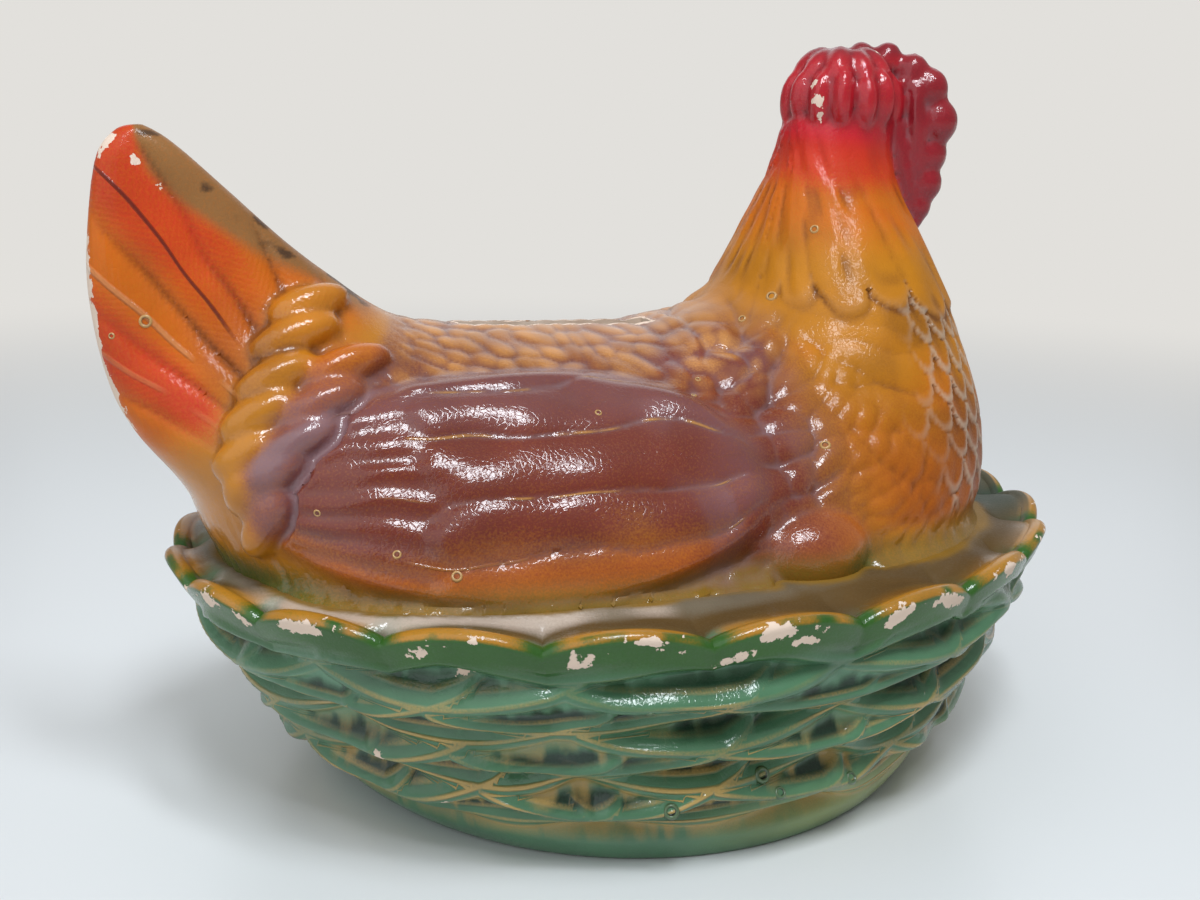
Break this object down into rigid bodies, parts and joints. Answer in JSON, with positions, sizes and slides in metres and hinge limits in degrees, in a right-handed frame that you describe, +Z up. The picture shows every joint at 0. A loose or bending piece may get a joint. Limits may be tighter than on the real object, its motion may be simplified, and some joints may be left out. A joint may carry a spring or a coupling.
{
  "type": "hen money box",
  "caption": "Hollow painted hen sitting on a woven oval nest, with a coin slot along its back and a push-in bung in the base.",
  "frame": {"origin": "middle of the whole object's plan, on the table", "axes": "+Z up, +X along the hen towards its breast"},
  "size_m": [0.2222, 0.16, 0.1632],
  "materials": {
    "hen_paint": "airbrushed ochre, orange, red and brown paint under gloss varnish",
    "nest_paint": "green paint wiped off the ridges under gloss varnish",
    "bare_casting": "bare matt casting",
    "bung_rubber": "soft matt rubber"
  },
  "bodies": {
    "box": {"hen_body": "hen_paint", "nest_basket": "nest_paint", "base_disc": "bare_casting"},
    "stopper": {"bung": "bung_rubber"}
  },
  "joints": [
    {"name": "bung_slide", "type": "slide", "parent": "box", "child": "stopper", "axis": [0, 0, -1], "range_m": [0, 0.025]}
  ]
}
